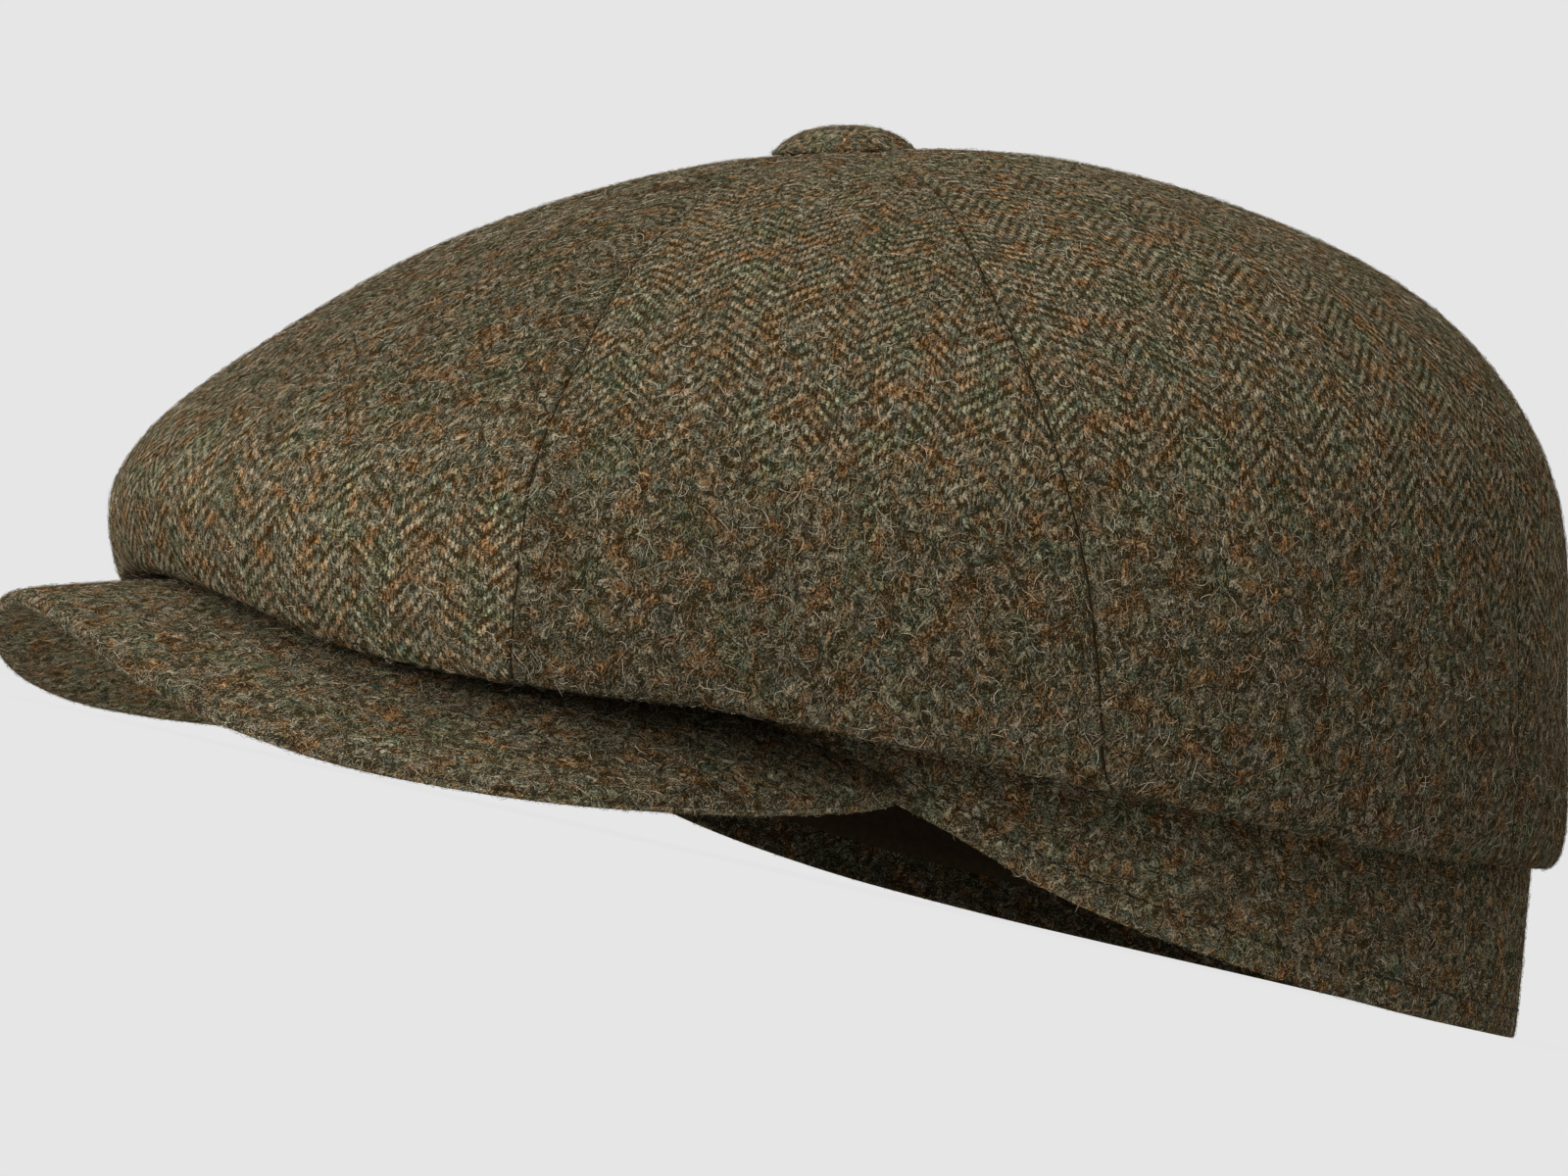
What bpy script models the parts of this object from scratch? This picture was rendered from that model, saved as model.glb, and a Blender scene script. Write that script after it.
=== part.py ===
"""A baker boy cap in tweed: eight crown panels and a covered button, on a head band with a peak.

The cap stands as it rests on a table, on the two sides of its peak and the back of its band.
+Z is up, the peak points along -Y and the wearer's left side is +X. Lengths are in metres.
"""

import math

import bmesh
import bpy
from mathutils import Matrix, Vector

MM = 0.001
SHARP_ANGLE = 40.0
MERGE_DISTANCE = 0.01 * MM

# The head that the cap fits, and the cloth that it is cut from
HEAD_LENGTH = 201 * MM
HEAD_WIDTH = 165 * MM
CLOTH = 1.2 * MM
SEAM_GAP = 0.35 * MM
CLEARANCE = 0.35 * MM

# The head band, two layers of cloth with a turned-up hem, and the ribbed sweatband inside it
BAND_WALL = 2.3 * MM
BAND_HEIGHT = 39 * MM
BAND_FRONT_LIFT = 28 * MM
BAND_FLARE = 5.0 * MM
HEM_EDGE = 0.5 * MM
SWEATBAND_WALL = 0.9 * MM
SWEATBAND_ABOVE_HEM = 7 * MM
SWEATBAND_BELOW_TOP = 1.5 * MM
BAND_STEPS = 72

# How far the crown hangs over the band, its height, and how full each panel is
CROWN_FRONT_OVERHANG = 50.45 * MM
CROWN_BACK_OVERHANG = 5.45 * MM
CROWN_SIDE_OVERHANG = 31.95 * MM
CROWN_HEIGHT = 126.5 * MM
PANEL_COUNT = 8
PANEL_COLUMNS = 8
SEAM_DEPTH = 1.2 * MM
SEAM_ROUNDNESS = 0.8
SEAM_FADE = 0.7
CROWN_SAG = 4 * MM
NECK_DROP = 1.6 * MM
SEAM_ALLOWANCE = 1.0 * MM

# The covered button and the shank that holds it in the point where the panels meet
BUTTON_FORWARD = 44 * MM
BUTTON_RADIUS = 12.3 * MM
BUTTON_DOME = 4.0 * MM
BUTTON_EDGE = 0.9 * MM
BUTTON_FULLNESS = 2.8
BUTTON_LEAN = 15.0
BUTTON_LIFT = 1.5 * CLEARANCE
SHANK_RADIUS = 4.0 * MM
SHANK_LENGTH = 4.5 * MM
HOLE_RADIUS = SHANK_RADIUS + CLEARANCE
BUTTON_STEPS = 24
BUTTON_DOME_STEPS = 6
BUTTON_EDGE_STEPS = 4

# The peak, cloth over a stiff board, sewn along the front of the band
PEAK_LENGTH = 59 * MM
PEAK_WALL = 3.6 * MM
PEAK_ROUNDING = 1.3 * MM
PEAK_BULGE = 1 * MM
PEAK_TIP_HEIGHT = 13.5 * MM
PEAK_CORNER_ANGLE = 66.0
PEAK_SPREAD = 0.9
PEAK_COLUMNS = 36
PEAK_ROWS = 7

# The band's lower edge and its height at each angle from the front, as shares of
# BAND_FRONT_LIFT and BAND_HEIGHT
BAND_TABLE = (
    {"angle": 0, "lift": 1.00, "height": 0.50},
    {"angle": 25, "lift": 0.93, "height": 0.52},
    {"angle": 48, "lift": 0.74, "height": 0.60},
    {"angle": 69, "lift": 0.45, "height": 0.75},
    {"angle": 81, "lift": 0.21, "height": 0.86},
    {"angle": 92, "lift": 0.10, "height": 0.93},
    {"angle": 105, "lift": 0.03, "height": 0.97},
    {"angle": 125, "lift": 0.0, "height": 1.00},
    {"angle": 180, "lift": 0.0, "height": 1.00},
)

# Rings of the crown from the button down to the fold over the band, as shares of CROWN_FRONT,
# CROWN_BACK and CROWN_HALF_WIDTH, with heights as shares of CROWN_HEIGHT. The seams run forward
# of even spacing by so many degrees at the side of a ring, and the diagonal is what they run
# forward besides at the front corners. The pinch is how much narrower the back of a ring is than
# an oval, and the sag is its share of the sag of the lower edge. The rows of mesh between a ring
# and the one before it follow its steps.
CROWN_TABLE = (
    {"ring": "top", "front": 0.405, "back": -0.117, "side": 0.240, "z_front": 0.900, "z_side": 0.955,
     "z_back": 1.003, "forward": 24.5, "diagonal": 7, "pinch": 0.00, "sag": 0.0, "steps": 3},
    {"ring": "upper", "front": 0.553, "back": 0.264, "side": 0.530, "z_front": 0.812, "z_side": 0.902,
     "z_back": 0.994, "forward": 22, "diagonal": 5, "pinch": 0.00, "sag": 0.0, "steps": 3},
    {"ring": "shoulder", "front": 0.711, "back": 0.579, "side": 0.790, "z_front": 0.686, "z_side": 0.787,
     "z_back": 0.918, "forward": 19, "diagonal": 2.5, "pinch": 0.00, "sag": 0.0, "steps": 3},
    {"ring": "flank", "front": 0.848, "back": 0.812, "side": 0.935, "z_front": 0.533, "z_side": 0.640,
     "z_back": 0.733, "forward": 13.5, "diagonal": 0, "pinch": 0.02, "sag": 0.0, "steps": 3},
    {"ring": "wall", "front": 0.953, "back": 0.928, "side": 0.995, "z_front": 0.397, "z_side": 0.448,
     "z_back": 0.450, "forward": 7, "diagonal": -1, "pinch": 0.10, "sag": 0.2, "steps": 3},
    {"ring": "brow", "front": 0.990, "back": 0.986, "side": 0.995, "z_front": 0.302, "z_side": 0.290,
     "z_back": 0.320, "forward": 3.5, "diagonal": -2, "pinch": 0.14, "sag": 0.6, "steps": 3},
    {"ring": "outer_fold", "front": 0.972, "back": 1.000, "side": 0.972, "z_front": 0.228, "z_side": 0.205,
     "z_back": 0.256, "forward": 2.5, "diagonal": -1.5, "pinch": 0.15, "sag": 0.9, "steps": 2},
    {"ring": "fold", "front": 0.942, "back": 0.982, "side": 0.948, "z_front": 0.192, "z_side": 0.182,
     "z_back": 0.238, "forward": 1.5, "diagonal": -0.5, "pinch": 0.17, "sag": 1.0, "steps": 2},
)
TUCK_IN = 0.70
TUCK_UP = 0.45
TUCK_STEPS = (2, 2, 1, 1)

# How far the crown's lower edge sags at each angle from the front, as a share of CROWN_SAG
SAG_TABLE = (
    {"angle": 0, "sag": 0.15},
    {"angle": 8, "sag": 0.32},
    {"angle": 16, "sag": 0.65},
    {"angle": 25, "sag": 1.2},
    {"angle": 32, "sag": 1.45},
    {"angle": 43, "sag": 1.25},
    {"angle": 65, "sag": 0.3},
    {"angle": 90, "sag": 0.1},
    {"angle": 112, "sag": 0.25},
    {"angle": 140, "sag": 0.0},
    {"angle": 180, "sag": 0.0},
)

# The peak's reach past the band, and the height of its rim, from the middle to the corner,
# as shares of PEAK_LENGTH and PEAK_TIP_HEIGHT
PEAK_TABLE = (
    {"along": 0.00, "reach": 1.00, "height": 1.00},
    {"along": 0.12, "reach": 0.995, "height": 0.87},
    {"along": 0.25, "reach": 0.98, "height": 0.50},
    {"along": 0.38, "reach": 0.945, "height": 0.16},
    {"along": 0.53, "reach": 0.86, "height": 0.00},
    {"along": 0.66, "reach": 0.735, "height": 0.08},
    {"along": 0.80, "reach": 0.50, "height": 0.35},
    {"along": 0.92, "reach": 0.235, "height": 0.70},
    {"along": 1.00, "reach": 0.06, "height": 1.00},
)

# Worked out from the sizes above. Angles run from the front towards the wearer's left.
BAND_OUTER_LENGTH = HEAD_LENGTH / 2 + SWEATBAND_WALL + CLEARANCE + BAND_WALL - BAND_FLARE / 2
BAND_OUTER_WIDTH = HEAD_WIDTH / 2 + SWEATBAND_WALL + CLEARANCE + BAND_WALL - BAND_FLARE / 2
CROWN_FRONT = BAND_OUTER_LENGTH + CROWN_FRONT_OVERHANG
CROWN_BACK = BAND_OUTER_LENGTH + CROWN_BACK_OVERHANG
CROWN_HALF_WIDTH = BAND_OUTER_WIDTH + CROWN_SIDE_OVERHANG
FRONT_REACH = BAND_OUTER_LENGTH + BAND_FLARE + PEAK_LENGTH
HEAD_MIDDLE = Vector((0, (FRONT_REACH - CROWN_BACK) / 2, 0))


def smooth_curve(table, key, column, value):
    """Reads a column of a table on a smooth curve through its rows that doesn't overshoot them."""
    keys = [row[key] for row in table]
    values = [row[column] for row in table]
    slopes = [(b - a) / (y - x) for a, b, x, y in zip(values, values[1:], keys, keys[1:])]
    tangents = [0.0]
    for before, after in zip(slopes, slopes[1:]):
        tangents.append(0.0 if before * after <= 0 else 2 * before * after / (before + after))
    tangents.append(slopes[-1])
    value = min(max(value, keys[0]), keys[-1])
    i = max(k for k in range(len(slopes)) if keys[k] <= value)
    step = keys[i + 1] - keys[i]
    t = (value - keys[i]) / step
    rise = 3 * t**2 - 2 * t**3
    bend = (t**3 - 2 * t**2 + t) * tangents[i] + (t**3 - t**2) * tangents[i + 1]
    return values[i] + rise * (values[i + 1] - values[i]) + step * bend


def from_front(angle):
    """The angle from the front in degrees, the same on both sides of the cap."""
    return abs((angle + 180) % 360 - 180)


def oval(angle, front, back, side):
    """A point in plan on an oval round the head, at an angle from the front."""
    turn = math.radians(angle)
    half, middle = (front + back) / 2, (back - front) / 2
    return HEAD_MIDDLE + Vector((side * math.sin(turn), middle - half * math.cos(turn), 0))


def band_lift(angle):
    return BAND_FRONT_LIFT * smooth_curve(BAND_TABLE, "angle", "lift", from_front(angle))


def band_height(angle):
    return BAND_HEIGHT * smooth_curve(BAND_TABLE, "angle", "height", from_front(angle))


def band_point(angle, above, inset):
    """A point of the band's wall: above its lower edge, and inset from its outer face."""
    out = BAND_FLARE * (1 - above / BAND_HEIGHT) - inset
    length, width = BAND_OUTER_LENGTH + out, BAND_OUTER_WIDTH + out
    point = oval(angle, length, length, width)
    point.z = band_lift(angle) + above
    return point


def crown_ring(row, angle):
    """A point on one ring of the crown."""
    sag = CROWN_SAG * row["sag"] * smooth_curve(SAG_TABLE, "angle", "sag", from_front(angle))
    turn = math.sin(math.radians(angle))
    angle -= row["forward"] * turn * abs(turn) + row["diagonal"] * math.sin(2 * math.radians(angle))
    ahead = math.cos(math.radians(angle))
    side = row["side"] * CROWN_HALF_WIDTH * (1 - row["pinch"] * min(ahead, 0)**2)
    point = oval(angle, row["front"] * CROWN_FRONT, row["back"] * CROWN_BACK, side)
    tilt = (row["z_front"] - row["z_back"]) / 2
    saddle = (row["z_front"] + row["z_back"]) / 2 - row["z_side"]
    point.z = CROWN_HEIGHT * (row["z_side"] + tilt * ahead + saddle * ahead**2) - sag
    return point


def button_frame():
    """The place and lean of the button: its flat underside lies on the crown, its axis is Z."""
    lean = Matrix.Rotation(math.radians(BUTTON_LEAN), 4, "X")
    ring = CROWN_TABLE[0]
    front, back = ring["front"] * CROWN_FRONT, ring["back"] * CROWN_BACK
    from_ring_front = (front - BUTTON_FORWARD) / (front + back)
    height = CROWN_HEIGHT * (ring["z_front"] + (ring["z_back"] - ring["z_front"]) * from_ring_front)
    return Matrix.Translation(HEAD_MIDDLE + Vector((0, -BUTTON_FORWARD, height))) @ lean


def hole_point(angle):
    """A point on the small hole that the panels leave for the button's shank."""
    turn = math.radians(angle)
    return button_frame() @ Vector((HOLE_RADIUS * math.sin(turn), -HOLE_RADIUS * math.cos(turn), 0))


def spline(knots, steps):
    """Points on a smooth curve through the knots, with so many steps to each knot."""
    lengths = [(b - a).length for a, b in zip(knots, knots[1:])]
    tangents = [(knots[1] - knots[0]) / lengths[0]]
    for i in range(1, len(knots) - 1):
        tangents.append((knots[i + 1] - knots[i - 1]) / (lengths[i] + lengths[i - 1]))
    tangents.append((knots[-1] - knots[-2]) / lengths[-1])
    points = [knots[0]]
    for i, count in enumerate(steps):
        for k in range(1, count + 1):
            t = k / count
            start = knots[i] + (knots[i + 1] - knots[i]) * (3 * t**2 - 2 * t**3)
            bend = tangents[i] * (t**3 - 2 * t**2 + t) + tangents[i + 1] * (t**3 - t**2)
            points.append(start + bend * lengths[i])
    return points


def crown_line(angle):
    """The line of a panel from the button over the fold to the top of the band, row by row."""
    knots = [hole_point(angle)]
    knots += [crown_ring(row, angle) for row in CROWN_TABLE]
    fold, neck = knots[-1], band_point(angle, band_height(angle) - NECK_DROP, -CLEARANCE)
    tuck = fold.lerp(neck, TUCK_IN)
    tuck.z = fold.z + (neck.z - fold.z) * TUCK_UP
    above_band = band_height(angle) + CLEARANCE
    knots += [tuck, neck]
    knots += [band_point(angle, above_band, inset) for inset in (-CLEARANCE, SEAM_ALLOWANCE)]
    return spline(knots, [row["steps"] for row in CROWN_TABLE] + list(TUCK_STEPS))


def cloth_material(name, colour, roughness):
    material = bpy.data.materials.new(name)
    material.use_nodes = True
    shader = material.node_tree.nodes["Principled BSDF"]
    shader.inputs["Base Color"].default_value = (*colour, 1)
    shader.inputs["Roughness"].default_value = roughness
    shader.inputs["Metallic"].default_value = 0
    return material


def new_object(name, mesh_builder, material):
    """Makes one named object from a bmesh, with its faces pointing out and shaded smooth."""
    bmesh.ops.recalc_face_normals(mesh_builder, faces=mesh_builder.faces)
    mesh = bpy.data.meshes.new(name)
    mesh_builder.to_mesh(mesh)
    mesh_builder.free()
    mesh.materials.append(material)
    mesh.shade_smooth()
    mesh.set_sharp_from_angle(angle=math.radians(SHARP_ANGLE))
    piece = bpy.data.objects.new(name, mesh)
    bpy.context.scene.collection.objects.link(piece)
    return piece


def closed_ring(loops):
    """A closed wall round the head: a loop of profile points at each angle, joined all round."""
    ring = bmesh.new()
    rows = [[ring.verts.new(point) for point in loop] for loop in loops]
    for row, following in zip(rows, rows[1:] + rows[:1]):
        for a, b, c, d in zip(row, row[1:] + row[:1], following[1:] + following[:1], following):
            ring.faces.new((a, b, c, d))
    return ring


def closed_sheet(loops):
    """A closed sheet of cloth: each loop runs along its outer face and back along its inner one."""
    sheet = bmesh.new()
    rows = [[sheet.verts.new(point) for point in loop] for loop in loops]
    for row, following in zip(rows, rows[1:]):
        for a, b, c, d in zip(row, row[1:] + row[:1], following[1:] + following[:1], following):
            sheet.faces.new((a, b, c, d))
    for row in (rows[0], rows[-1]):
        last = len(row) - 1
        for k in range(len(row) // 2 - 1):
            sheet.faces.new((row[k], row[k + 1], row[last - k - 1], row[last - k]))
        if len(row) % 2:
            middle = len(row) // 2
            sheet.faces.new(row[middle - 1:middle + 2])
    return sheet


def normals_along(line, before, after):
    """The directions out of a surface along one of its lines, from the lines at its two sides."""
    normals = []
    for k, (left, right) in enumerate(zip(before, after)):
        along = line[min(k + 1, len(line) - 1)] - line[max(k - 1, 0)]
        normals.append(along.cross(right - left).normalized())
    return normals


def make_crown_panel(number, material):
    """One of the panels: full in the middle, sunk at the seams, and folded in under its lower edge."""
    width = 360 / PANEL_COUNT
    columns = range(-1, PANEL_COLUMNS + 2)
    lines = [crown_line(width * (number + column / PANEL_COLUMNS)) for column in columns]
    full_rows = len(lines[0]) - 1 - sum(TUCK_STEPS)
    loops = []
    for column in range(PANEL_COLUMNS + 1):
        before, line, after = lines[column:column + 3]
        across = column / PANEL_COLUMNS
        sunk = SEAM_DEPTH * (1 - math.sin(math.pi * across) ** SEAM_ROUNDNESS)
        shift = {0: SEAM_GAP / 2, PANEL_COLUMNS: -SEAM_GAP / 2}.get(column, 0)
        outer, inner = [], []
        for k, normal in enumerate(normals_along(line, before, after)):
            fullness = math.sin(math.pi * min(k / full_rows, 1)) ** SEAM_FADE
            point = line[k] - normal * sunk * fullness + (after[k] - before[k]).normalized() * shift
            outer.append(point)
            inner.append(point - normal * CLOTH)
        loops.append(outer + inner[::-1])
    return new_object(f"crown_panel_{number + 1}", closed_sheet(loops), material)


def make_band(material):
    """The band: a wall of doubled cloth with a rounded hem, flared towards its lower edge."""
    loops = []
    for step in range(BAND_STEPS):
        angle = 360 * step / BAND_STEPS
        height = band_height(angle)
        loops.append((
            band_point(angle, 0, HEM_EDGE),
            band_point(angle, HEM_EDGE, 0),
            band_point(angle, height / 2, 0),
            band_point(angle, height, 0),
            band_point(angle, height, BAND_WALL),
            band_point(angle, height / 2, BAND_WALL),
            band_point(angle, HEM_EDGE, BAND_WALL),
            band_point(angle, 0, BAND_WALL - HEM_EDGE),
        ))
    return new_object("head_band", closed_ring(loops), material)


def make_sweatband(material):
    """The sweatband: a thin ring inside the band, from the top of its hem to near its top."""
    outer = BAND_WALL + CLEARANCE
    inner = outer + SWEATBAND_WALL
    loops = []
    for step in range(BAND_STEPS):
        angle = 360 * step / BAND_STEPS
        top = band_height(angle) - SWEATBAND_BELOW_TOP
        loops.append((
            band_point(angle, SWEATBAND_ABOVE_HEM, outer),
            band_point(angle, top, outer),
            band_point(angle, top, inner),
            band_point(angle, SWEATBAND_ABOVE_HEM, inner),
        ))
    return new_object("sweatband", closed_ring(loops), material)


def peak_line(share):
    """A line of the peak's top face, from the band out to the rim; share is -1 to 1 across it."""
    angle = PEAK_CORNER_ANGLE * share
    turn = math.radians(angle)
    outward = Vector((PEAK_SPREAD * math.sin(turn), -math.cos(turn), 0)).normalized()
    root = band_point(angle, PEAK_WALL, -CLEARANCE)
    reach = PEAK_LENGTH * smooth_curve(PEAK_TABLE, "along", "reach", abs(share)) - PEAK_ROUNDING
    rim_height = PEAK_TIP_HEIGHT * smooth_curve(PEAK_TABLE, "along", "height", abs(share)) + PEAK_WALL
    points = []
    for row in range(PEAK_ROWS + 1):
        out = row / PEAK_ROWS
        point = root + outward * reach * out
        bulge = PEAK_BULGE * math.sin(math.pi * out) * reach / PEAK_LENGTH
        point.z = root.z + (rim_height - root.z) * out + bulge
        points.append(point)
    return points


def make_peak(material):
    """The peak: a stiff curved sheet with a rounded rim, whose root lies against the band."""
    step = 2 / PEAK_COLUMNS
    loops = []
    for column in range(PEAK_COLUMNS + 1):
        share = column * step - 1
        top = peak_line(share)
        before, after = peak_line(max(share - step, -1)), peak_line(min(share + step, 1))
        root = band_point(PEAK_CORNER_ANGLE * share, 0, -CLEARANCE)
        at_root = (top[0] - root).normalized()
        spread = smooth_curve(PEAK_TABLE, "along", "reach", abs(share))
        underside = []
        for k, normal in enumerate(normals_along(top, before, after)):
            up = at_root.lerp(normal, spread * k / PEAK_ROWS).normalized()
            underside.append(top[k] - up * PEAK_WALL)
        nose = top[-1].lerp(underside[-1], 0.5) + (top[-1] - top[-2]).normalized() * PEAK_ROUNDING
        loops.append(top + [nose] + underside[::-1])
    return new_object("peak", closed_sheet(loops), material)


def make_button(material):
    """The button: a low dome with a rounded edge, and the shank under it."""
    profile = [Vector((0, 0, BUTTON_EDGE + BUTTON_DOME))]
    for step in range(1, BUTTON_DOME_STEPS):
        share = step / BUTTON_DOME_STEPS
        height = BUTTON_EDGE + BUTTON_DOME * (1 - share**BUTTON_FULLNESS)
        profile.append(Vector((BUTTON_RADIUS * share, 0, height)))
    for step in range(BUTTON_EDGE_STEPS + 1):
        turn = math.pi * step / BUTTON_EDGE_STEPS
        edge = BUTTON_EDGE / 2 * Vector((math.sin(turn), 0, math.cos(turn)))
        profile.append(Vector((BUTTON_RADIUS - BUTTON_EDGE / 2, 0, BUTTON_EDGE / 2)) + edge)
    profile += [Vector((SHANK_RADIUS, 0, 0)), Vector((SHANK_RADIUS, 0, -SHANK_LENGTH))]
    profile.append(Vector((0, 0, -SHANK_LENGTH)))
    turned = bmesh.new()
    verts = [turned.verts.new(point + Vector((0, 0, BUTTON_LIFT))) for point in profile]
    edges = [turned.edges.new(pair) for pair in zip(verts, verts[1:])]
    bmesh.ops.spin(turned, geom=verts + edges, axis=(0, 0, 1), cent=(0, 0, 0), angle=math.tau,
                   steps=BUTTON_STEPS, use_merge=True)
    bmesh.ops.remove_doubles(turned, verts=turned.verts, dist=MERGE_DISTANCE)
    turned.transform(button_frame())
    return new_object("top_button", turned, material)


for old in list(bpy.data.objects):
    bpy.data.objects.remove(old)

tweed = cloth_material("tweed", (0.085, 0.066, 0.036), 0.95)
ribbed_cotton = cloth_material("ribbed_cotton", (0.018, 0.011, 0.006), 0.85)

for panel_number in range(PANEL_COUNT):
    make_crown_panel(panel_number, tweed)
make_button(tweed)
make_peak(tweed)
make_band(tweed)
make_sweatband(ribbed_cotton)
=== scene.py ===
"""The looks of a tweed baker boy cap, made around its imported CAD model.

The cap rests on a pale floor: +Z is up, the peak points along -Y and the wearer's left is +X.
Lengths are in metres, apart from those of the tweed's pattern and fibres, which are in millimetres
as their comments say.
"""

import math

import bmesh
import bpy
import numpy as np
from mathutils import Matrix, Vector
from mathutils.bvhtree import BVHTree
from mathutils.kdtree import KDTree


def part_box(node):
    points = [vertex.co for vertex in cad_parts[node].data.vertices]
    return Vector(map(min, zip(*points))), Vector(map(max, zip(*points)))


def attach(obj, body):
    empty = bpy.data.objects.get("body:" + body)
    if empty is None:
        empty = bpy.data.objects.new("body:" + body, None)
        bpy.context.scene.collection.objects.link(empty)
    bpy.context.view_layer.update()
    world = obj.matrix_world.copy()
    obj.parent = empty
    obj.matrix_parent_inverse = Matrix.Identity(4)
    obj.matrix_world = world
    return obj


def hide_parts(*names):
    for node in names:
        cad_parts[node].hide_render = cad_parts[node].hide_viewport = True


MM = 0.001

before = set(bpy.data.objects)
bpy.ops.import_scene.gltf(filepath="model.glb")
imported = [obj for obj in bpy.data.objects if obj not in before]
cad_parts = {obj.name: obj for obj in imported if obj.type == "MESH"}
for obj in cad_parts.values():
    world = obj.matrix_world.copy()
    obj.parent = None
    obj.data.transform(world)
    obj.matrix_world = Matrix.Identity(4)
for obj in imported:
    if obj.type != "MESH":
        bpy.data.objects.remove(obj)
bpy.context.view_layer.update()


# The studio: a pale floor, which glows so that it runs on without an edge into a pale surround, a
# wide lamp low in front of the cap and one over it, and a long lens just above the floor, rolled a
# little.
SURROUND = 0.79
FLOOR_WIDTH = 8.0
FLOOR_SIDES = 64
FLOOR_GLOW = 0.77
FLOOR_COLOUR = 0.0126
LAMPS = (
    ("front_lamp", 5.2, Vector((0.36, -0.90, 0.09))),
    ("top_lamp", 2.1, Vector((-0.03, -0.26, 0.97))),
)
LAMP_SPREAD = 45.0
CAMERA_AZIMUTH = 68.0
CAMERA_ELEVATION = -2.72
CAMERA_ROLL = 12.9
CAMERA_DISTANCE = 900 * MM
LENS = 123.5
NEAREST_SEEN = 1 * MM
AIM_LEFT = 34.6 * MM
AIM_UP = 46.8 * MM

world = bpy.data.worlds.new("surround")
world.use_nodes = True
world.node_tree.nodes["Background"].inputs["Color"].default_value = (SURROUND, SURROUND, SURROUND, 1)
bpy.context.scene.world = world
bpy.context.scene.view_settings.view_transform = "Standard"

floor_shape = bmesh.new()
bmesh.ops.create_circle(floor_shape, cap_ends=True, segments=FLOOR_SIDES, radius=FLOOR_WIDTH / 2)
floor_mesh = bpy.data.meshes.new("floor")
floor_shape.to_mesh(floor_mesh)
floor_shape.free()
floor = bpy.data.objects.new("floor", floor_mesh)
bpy.context.scene.collection.objects.link(floor)
floor_paint = bpy.data.materials.new("floor_paint")
floor_paint.use_nodes = True
floor_shader = floor_paint.node_tree.nodes["Principled BSDF"]
floor_shader.inputs["Base Color"].default_value = (FLOOR_COLOUR, FLOOR_COLOUR, FLOOR_COLOUR, 1)
floor_shader.inputs["Roughness"].default_value = 1
floor_shader.inputs["Specular IOR Level"].default_value = 0
floor_shader.inputs["Emission Color"].default_value = (1, 1, 1, 1)
floor_shader.inputs["Emission Strength"].default_value = FLOOR_GLOW
floor_mesh.materials.append(floor_paint)

for lamp_name, strength, direction in LAMPS:
    lamp_data = bpy.data.lights.new(lamp_name, "SUN")
    lamp_data.energy = strength
    lamp_data.angle = math.radians(LAMP_SPREAD)
    lamp = bpy.data.objects.new(lamp_name, lamp_data)
    lamp.rotation_euler = direction.to_track_quat("Z", "Y").to_euler()
    bpy.context.scene.collection.objects.link(lamp)

band_low, band_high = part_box("head_band")
head_middle = (band_low + band_high) / 2
head_middle.z = 0
turn, rise, roll = (math.radians(a) for a in (CAMERA_AZIMUTH, CAMERA_ELEVATION, CAMERA_ROLL))
backward = Vector((math.sin(turn) * math.cos(rise), -math.cos(turn) * math.cos(rise), math.sin(rise)))
rightward = Vector((math.cos(turn), math.sin(turn), 0))
upward = backward.cross(rightward)
aim = head_middle - rightward * AIM_LEFT + upward * AIM_UP
camera_data = bpy.data.cameras.new("camera")
camera_data.lens = LENS
camera_data.clip_start = NEAREST_SEEN
camera = bpy.data.objects.new("camera", camera_data)
picture_right = rightward * math.cos(roll) + upward * math.sin(roll)
picture_up = upward * math.cos(roll) - rightward * math.sin(roll)
camera.matrix_world = Matrix.Translation(aim + backward * (CAMERA_DISTANCE - aim.dot(backward))) @ Matrix(
    (picture_right, picture_up, backward)).transposed().to_4x4()
bpy.context.scene.collection.objects.link(camera)
bpy.context.scene.camera = camera


# The tweed: a felted wool herringbone, its pale yarns over a dark ground, in columns that turn back
# and forth, spun from dyed wool in cream, tan, rust, olive, moss green and grey-blue. The sizes of
# its pattern are in millimetres.
CLOTH_MAP = "cloth"
CLEAR_WEAVE = "clear_weave"
# This attribute holds the tweed's own tone and, in places, painted light and shade.
TONE_AND_LIGHT = "paleness"
COLUMN_WIDTH = 7.5
TWILL_PITCH = 2.5
YARN_WIDTH = 0.72
WANDER = 0.5
BEND_WAVES = (0.21, 0.17, 0.9)
SLIDE_WAVES = (0.27, 0.13, 1.2)
RIDGE_MEAN = 0.65
FUZZ_SIZE = 0.6
FUZZ_SHIFT = (0.6, 0.9, 0)
SWAY_SIZE = 2.5
SWAY_DETAIL = 1.0
SWAY = 5.0
HANK_WIDTH = 1.6
HANK_LENGTH = 2.2
HANK_DETAIL = 1.5
HANK_CONTRAST = 2.0
HAIR_WIDTH = 0.22
HAIR_LENGTH = 0.60
SPECK_SIZE = 0.30
TUFT_SIZE = 1.7
FLECK_DETAIL = 3.0
PATCH_DETAIL = 4.0
RUST_SIZE = 5.0
RUST_TINT = (1.17, 0.83, 0.60, 1)
GREEN_SIZE = 8.0
GREEN_TINT = (0.86, 1.0, 0.92, 1)
PATCH_EDGE = 0.49
PATCH_RISE = 0.15
PATCH_CONTRAST = 6.0
LIGHT_LEVEL = 0.37
LIGHT_SHARES = {"weave": 0.26, "felted_weave": 0.08, "dash": 0.62, "ridge": 0.40, "hairs": 1.8,
                "specks": 2.4, "tuft": 1.0}
HEIGHT_SHARES = {"light": 0.8, "tuft": 0.5, "ridge": 0.3}
RELIEF = 0.4 * MM
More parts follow.
